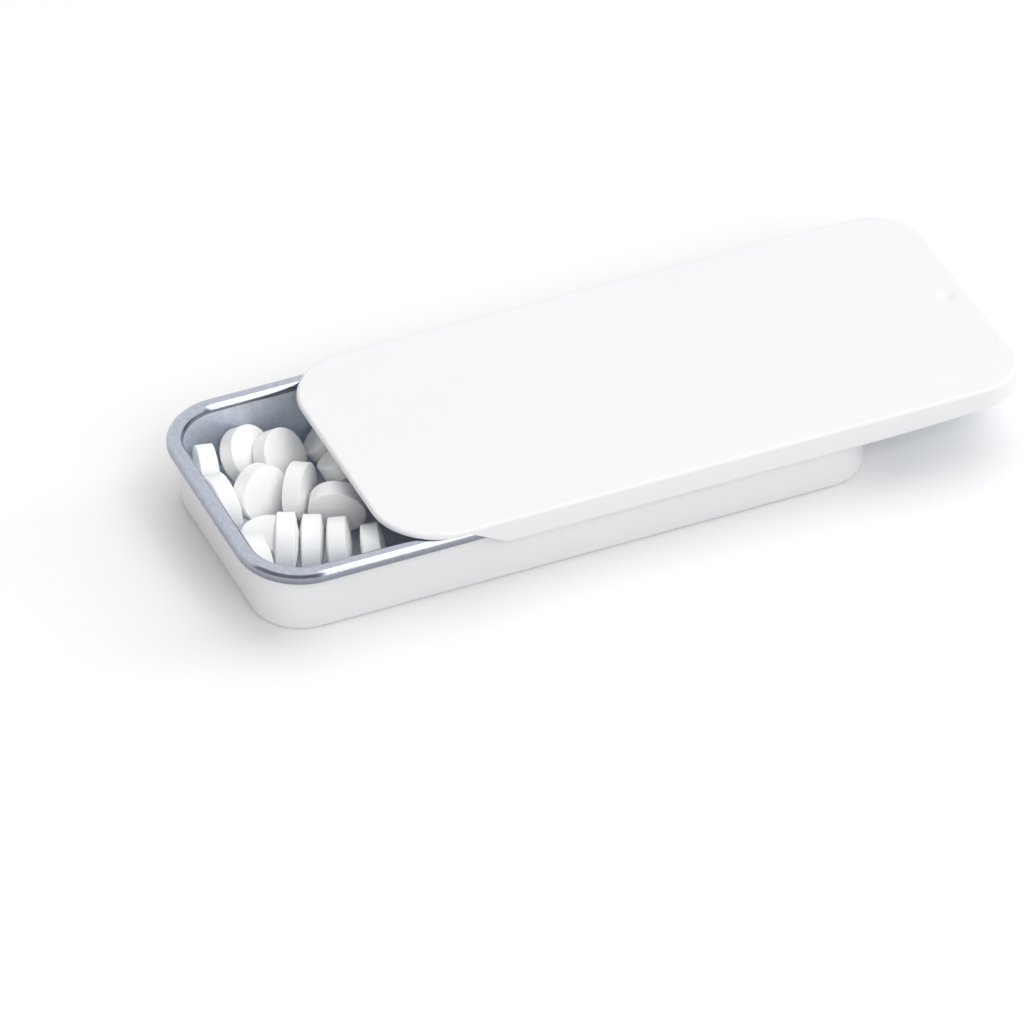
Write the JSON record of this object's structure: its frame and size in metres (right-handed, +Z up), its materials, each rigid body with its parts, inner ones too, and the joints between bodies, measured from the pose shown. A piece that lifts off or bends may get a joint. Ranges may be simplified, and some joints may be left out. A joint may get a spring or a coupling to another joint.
{
  "type": "slide-lid mint tin",
  "caption": "Shallow oblong tinplate tin with a rolled rim and a lid that slides along it on folded channels, drawn part way open on a heap of round mints.",
  "frame": {"origin": "middle of the tray's flat bottom", "axes": "+X along the tin, the way the lid slides open; +Y across the tin, away from the picture's near side; +Z up"},
  "size_m": [0.0922, 0.035, 0.0097],
  "materials": {
    "tray_tinplate": "white satin-gloss lacquer outside, bare bluish-grey tinplate inside and round the rim",
    "lid_lacquer": "white satin-gloss lacquer outside, bare tinplate underneath",
    "mint_sugar": "matt white pressed sugar"
  },
  "bodies": {
    "tray": {"tin_tray": "tray_tinplate", "mint_01": "mint_sugar", "mint_02": "mint_sugar", "mint_03": "mint_sugar", "mint_04": "mint_sugar", "mint_05": "mint_sugar", "mint_06": "mint_sugar", "mint_07": "mint_sugar", "mint_08": "mint_sugar", "mint_09": "mint_sugar", "mint_10": "mint_sugar", "mint_11": "mint_sugar", "mint_12": "mint_sugar", "mint_13": "mint_sugar", "mint_14": "mint_sugar", "mint_15": "mint_sugar", "mint_16": "mint_sugar", "mint_17": "mint_sugar", "mint_18": "mint_sugar", "mint_19": "mint_sugar", "mint_20": "mint_sugar", "mint_21": "mint_sugar", "mint_22": "mint_sugar", "mint_23": "mint_sugar", "mint_24": "mint_sugar", "mint_25": "mint_sugar", "mint_26": "mint_sugar", "mint_27": "mint_sugar", "mint_28": "mint_sugar", "mint_29": "mint_sugar", "mint_30": "mint_sugar", "mint_31": "mint_sugar", "mint_32": "mint_sugar", "mint_33": "mint_sugar", "mint_34": "mint_sugar", "mint_35": "mint_sugar", "mint_36": "mint_sugar"},
    "lid": {"slide_lid": "lid_lacquer"}
  },
  "joints": [
    {"name": "lid_slide", "type": "slide", "parent": "tray", "child": "lid", "axis": [1, 0, 0], "range_m": [-0.01565, 0.028]}
  ]
}
